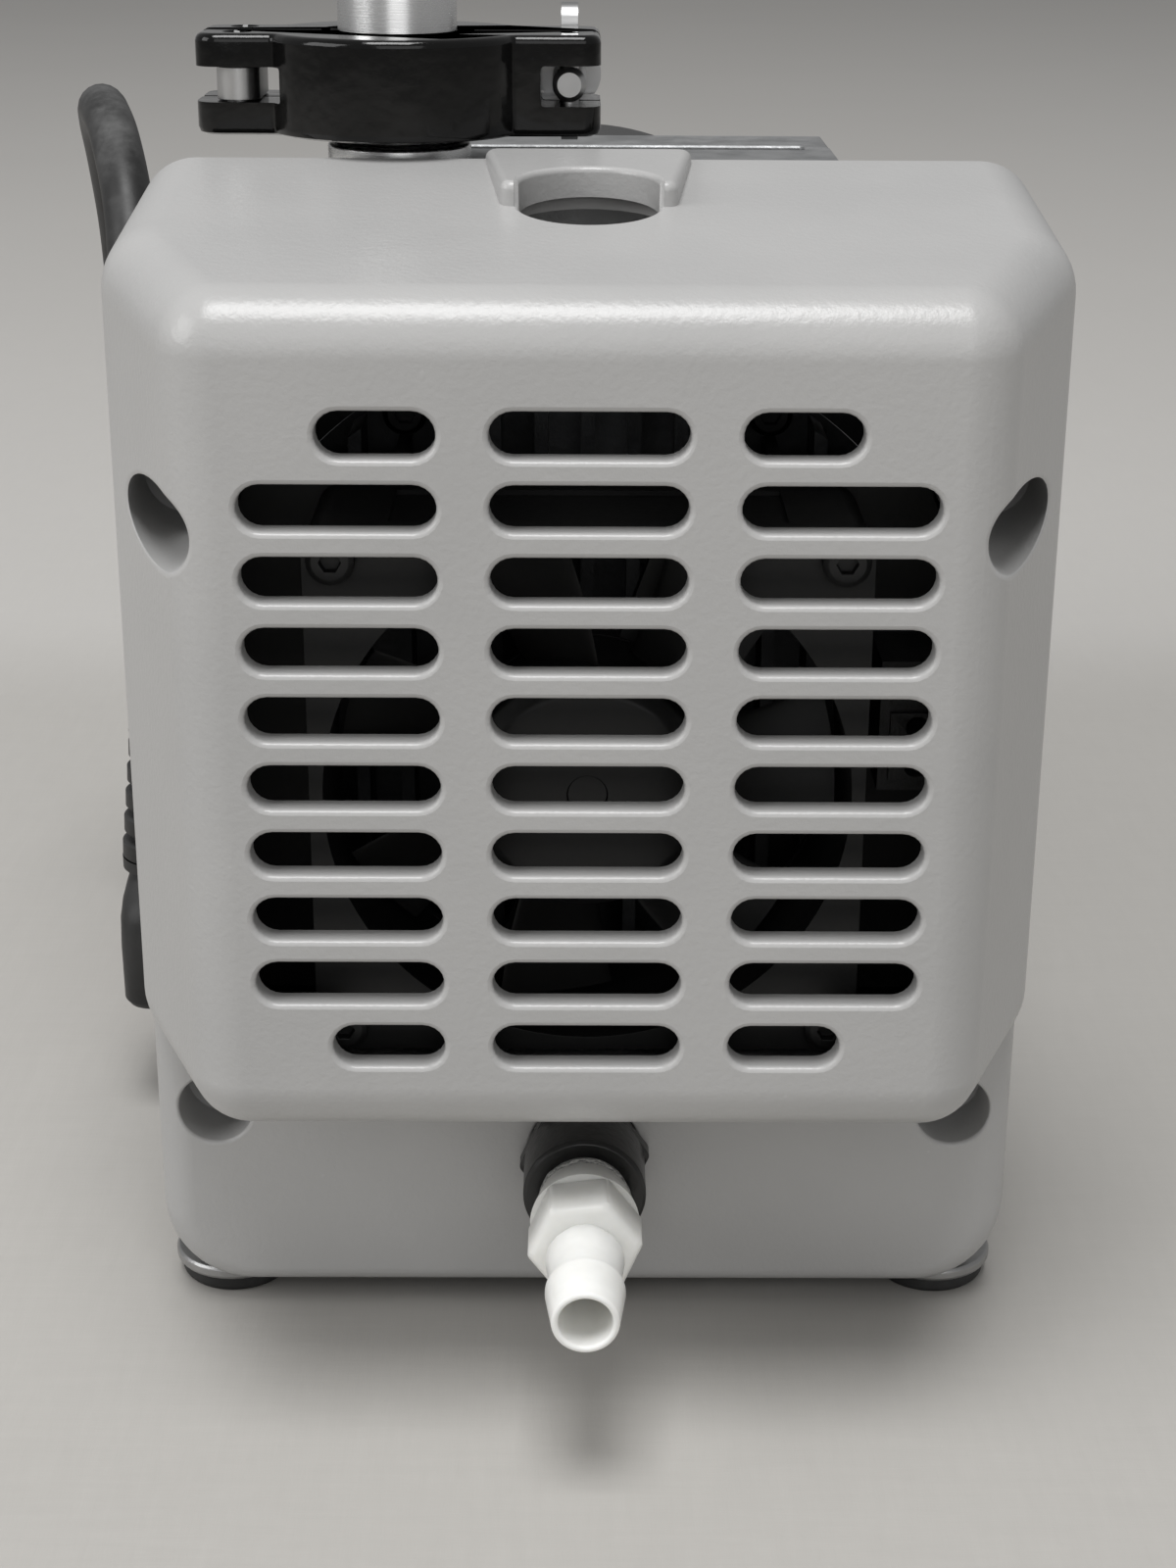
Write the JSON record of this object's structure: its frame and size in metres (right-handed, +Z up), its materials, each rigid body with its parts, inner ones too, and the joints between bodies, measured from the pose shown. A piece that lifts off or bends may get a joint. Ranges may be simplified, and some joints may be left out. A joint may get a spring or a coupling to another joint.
{
  "type": "dry scroll vacuum pump",
  "caption": "Small dry scroll vacuum pump with a slotted front hood, clamped flange inlet on top, hose barb exhaust below, finned motor and mains lead.",
  "frame": {"origin": "centre of the pump's bounding box in plan, at the bottom of the feet, without the mains lead", "axes": "+X to the pump's right as the picture shows it, +Y to the rear along the shaft, +Z up"},
  "size_m": [0.1709, 0.569, 0.2163],
  "materials": {
    "hood_plastic": "fine moulded texture, cool light grey",
    "black_plastic": "satin black",
    "switch_plastic": "glossy red",
    "white_nylon": "milky, slightly translucent",
    "seal_tape": "white thread sealant",
    "tip_plastic": "ivory",
    "sheet_steel": "zinc plated",
    "black_steel": "black, satin",
    "stainless": "polished",
    "screw_steel": "plain",
    "bearing_steel": "ground",
    "clamp_black": "glossy black",
    "cast_aluminium": "as cast, dusty",
    "scroll_aluminium": "machined",
    "motor_paint": "dark grey",
    "core_steel": "laminated",
    "copper": "enamelled wire, brass stands in for copper",
    "counter_brass": "plain",
    "black_rubber": "matt",
    "cord_rubber": "satin, dusty",
    "foot_grey": "light grey",
    "elbow_black": "dark, oily",
    "blade_brass": "nickel brass"
  },
  "bodies": {
    "pump": {"front_cover": "hood_plastic", "cover_screws": "screw_steel", "fan_bracket": "black_steel", "fan_frame": "black_plastic", "fan_screws": "black_steel", "terminal_block": "black_plastic", "front_frame": "black_steel", "fixed_scroll": "scroll_aluminium", "scroll_screws": "screw_steel", "fixed_tip_seal": "tip_plastic", "front_bearing": "bearing_steel", "rear_bearing": "bearing_steel", "pump_housing": "cast_aluminium", "inlet_port": "stainless", "centring_ring": "stainless", "o_ring": "black_rubber", "clamp_front": "clamp_black", "clamp_rear": "clamp_black", "clamp_links": "stainless", "link_pins": "stainless", "inlet_tube": "stainless", "exhaust_elbow": "elbow_black", "thread_seal": "seal_tape", "hose_barb": "white_nylon", "base_plate": "sheet_steel", "foot_cups": "foot_grey", "foot_pads": "black_rubber", "foot_screws": "screw_steel", "bell_housing": "cast_aluminium", "motor_housing": "motor_paint", "stator_core": "core_steel", "stator_windings": "copper", "end_bell": "cast_aluminium", "rear_cover": "black_plastic", "cover_rear_screws": "screw_steel", "control_box": "motor_paint", "box_panel": "motor_paint", "power_inlet": "black_plastic", "switch_frame": "black_plastic", "lead_connector": "black_rubber", "strain_relief": "black_rubber", "lead_run": "cord_rubber", "lead_coil": "cord_rubber", "lead_tie": "black_plastic", "mains_plug": "black_rubber", "plug_blades": "blade_brass"},
    "fan": {"fan_rotor": "black_plastic"},
    "shaft": {"crankshaft": "bearing_steel", "counterweight": "counter_brass", "motor_rotor": "core_steel", "rear_fan": "black_plastic"},
    "orbiter": {"orbiting_scroll": "scroll_aluminium", "orbit_tip_seal": "tip_plastic", "orbit_bearing": "bearing_steel"},
    "crank_top": {"crank_a": "bearing_steel"},
    "crank_left": {"crank_b": "bearing_steel"},
    "crank_right": {"crank_c": "bearing_steel"},
    "clamp_bolt_body": {"clamp_bolt": "stainless"},
    "wing_nut_body": {"wing_nut": "stainless"},
    "rocker": {"rocker_switch": "switch_plastic"}
  },
  "joints": [
    {"name": "shaft_spin", "type": "hinge", "parent": "pump", "child": "shaft", "pos_m": [0, -0.0585, 0.1], "axis": [0, 1, 0], "continuous": true},
    {"name": "scroll_orbit", "type": "hinge", "parent": "shaft", "child": "orbiter", "pos_m": [0.00388, -0.0745, 0.1], "axis": [0, 1, 0], "continuous": true},
    {"name": "crank_top_spin", "type": "hinge", "parent": "pump", "child": "crank_top", "pos_m": [0, -0.0665, 0.136], "axis": [0, 1, 0], "continuous": true},
    {"name": "crank_left_spin", "type": "hinge", "parent": "pump", "child": "crank_left", "pos_m": [-0.03118, -0.0665, 0.082], "axis": [0, 1, 0], "continuous": true},
    {"name": "crank_right_spin", "type": "hinge", "parent": "pump", "child": "crank_right", "pos_m": [0.03118, -0.0665, 0.082], "axis": [0, 1, 0], "continuous": true},
    {"name": "fan_spin", "type": "hinge", "parent": "pump", "child": "fan", "pos_m": [0, -0.1425, 0.102], "axis": [0, 1, 0], "continuous": true},
    {"name": "clamp_bolt_swing", "type": "hinge", "parent": "pump", "child": "clamp_bolt_body", "pos_m": [-0.003, -0.077, 0.19425], "axis": [0, 0, -1], "range_deg": [0, 95]},
    {"name": "wing_nut_turn", "type": "hinge", "parent": "clamp_bolt_body", "child": "wing_nut_body", "pos_m": [-0.003, -0.0585, 0.19425], "axis": [0, 1, 0], "continuous": true},
    {"name": "rocker_tilt", "type": "hinge", "parent": "pump", "child": "rocker", "pos_m": [-0.062, 0.0115, 0.032], "axis": [0, 0, 1], "range_deg": [-16, 0]}
  ],
  "couplings": [
    {"joint": "scroll_orbit", "follows": "shaft_spin", "ratio": -1},
    {"joint": "crank_top_spin", "follows": "shaft_spin", "ratio": 1},
    {"joint": "crank_left_spin", "follows": "shaft_spin", "ratio": 1},
    {"joint": "crank_right_spin", "follows": "shaft_spin", "ratio": 1}
  ]
}
